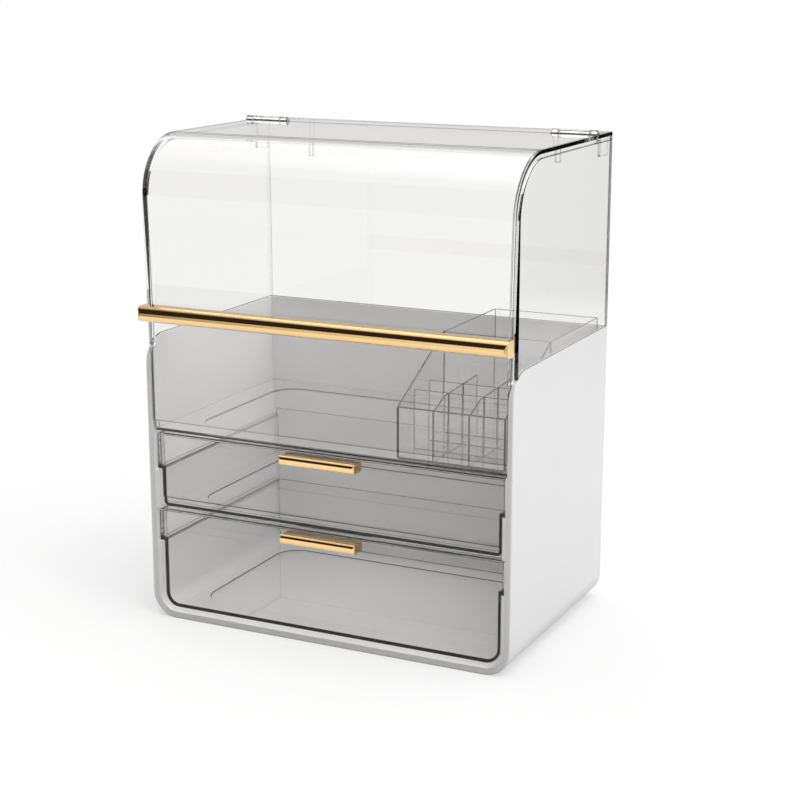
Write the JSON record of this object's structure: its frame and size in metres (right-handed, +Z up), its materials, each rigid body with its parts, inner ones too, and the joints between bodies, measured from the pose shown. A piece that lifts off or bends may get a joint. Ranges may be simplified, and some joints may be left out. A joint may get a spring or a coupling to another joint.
{
  "type": "cosmetics organizer",
  "caption": "Upright white countertop cosmetics organizer with stacked clear drawers, gold bar handles and a clear curved lid that flips up over a lipstick caddy and bottle well.",
  "frame": {"origin": "centre of the casing's footprint, on the table it stands on", "axes": "+X to the user's right as they face the drawers, +Y towards the back, +Z up"},
  "size_m": [0.3, 0.201, 0.375],
  "materials": {
    "white_casing": "white moulded plastic with a soft satin gloss",
    "white_liner": "white moulded plastic, slightly duller than the outside",
    "clear": "polished water-clear plastic",
    "smoky_clear": "polished clear plastic with a faint grey tint",
    "gold": "polished gold-coloured metal",
    "steel": "plain bright steel"
  },
  "bodies": {
    "cabinet": {"casing_shell": "white_casing", "back_panel": "white_casing", "drawer_bay_liner": "white_liner", "well_tray": "clear", "right_side_window": "clear", "left_side_window": "clear", "rear_window": "clear", "top_rail": "clear", "hinge_pins": "steel", "caddy_box": "clear", "caddy_long_dividers": "clear", "caddy_cross_dividers": "clear"},
    "lid_assembly": {"lid": "clear", "lid_handle": "gold", "lid_handle_screws": "steel"},
    "upper_drawer_assembly": {"upper_drawer": "smoky_clear", "upper_drawer_handle": "gold", "upper_handle_screws": "steel"},
    "lower_drawer_assembly": {"lower_drawer": "smoky_clear", "lower_drawer_handle": "gold", "lower_handle_screws": "steel"}
  },
  "joints": [
    {"name": "lid_hinge", "type": "hinge", "parent": "cabinet", "child": "lid_assembly", "pos_m": [0, 0.0635, 0.3715], "axis": [-1, 0, 0], "range_deg": [0, 120]},
    {"name": "upper_drawer_slide", "type": "slide", "parent": "cabinet", "child": "upper_drawer_assembly", "axis": [0, -1, 0], "range_m": [0, 0.125]},
    {"name": "lower_drawer_slide", "type": "slide", "parent": "cabinet", "child": "lower_drawer_assembly", "axis": [0, -1, 0], "range_m": [0, 0.125]}
  ]
}
